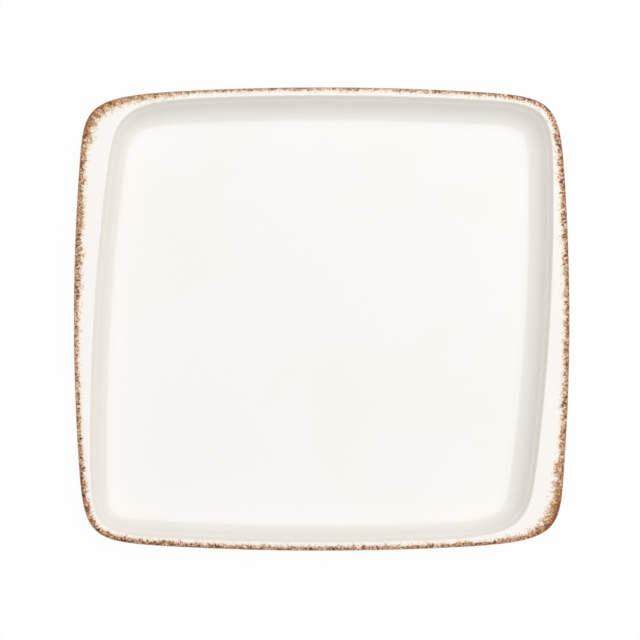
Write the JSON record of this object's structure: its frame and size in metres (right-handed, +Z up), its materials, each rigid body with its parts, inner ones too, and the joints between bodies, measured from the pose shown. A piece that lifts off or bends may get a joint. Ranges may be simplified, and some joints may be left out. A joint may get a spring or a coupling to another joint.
{
  "type": "rectangular plate",
  "caption": "Oblong, almost square ceramic dinner plate with bowed edges, a shallow stepped well that leans inside the rim, white glaze and a brown speckled edge.",
  "frame": {"origin": "middle of the plane that the foot ring stands on, under the middle of the plate", "axes": "+X along the plate's length, +Y across it, +Z up out of the well"},
  "size_m": [0.27, 0.2524, 0.02],
  "materials": {
    "bare_clay": "matte",
    "white_glaze": "gloss",
    "speckled_glaze": "gloss"
  },
  "bodies": {
    "root": {"clay_body": "bare_clay", "face_glaze": "white_glaze", "rim_band": "speckled_glaze", "underside_glaze": "white_glaze", "foot_well_glaze": "white_glaze"}
  },
  "joints": []
}
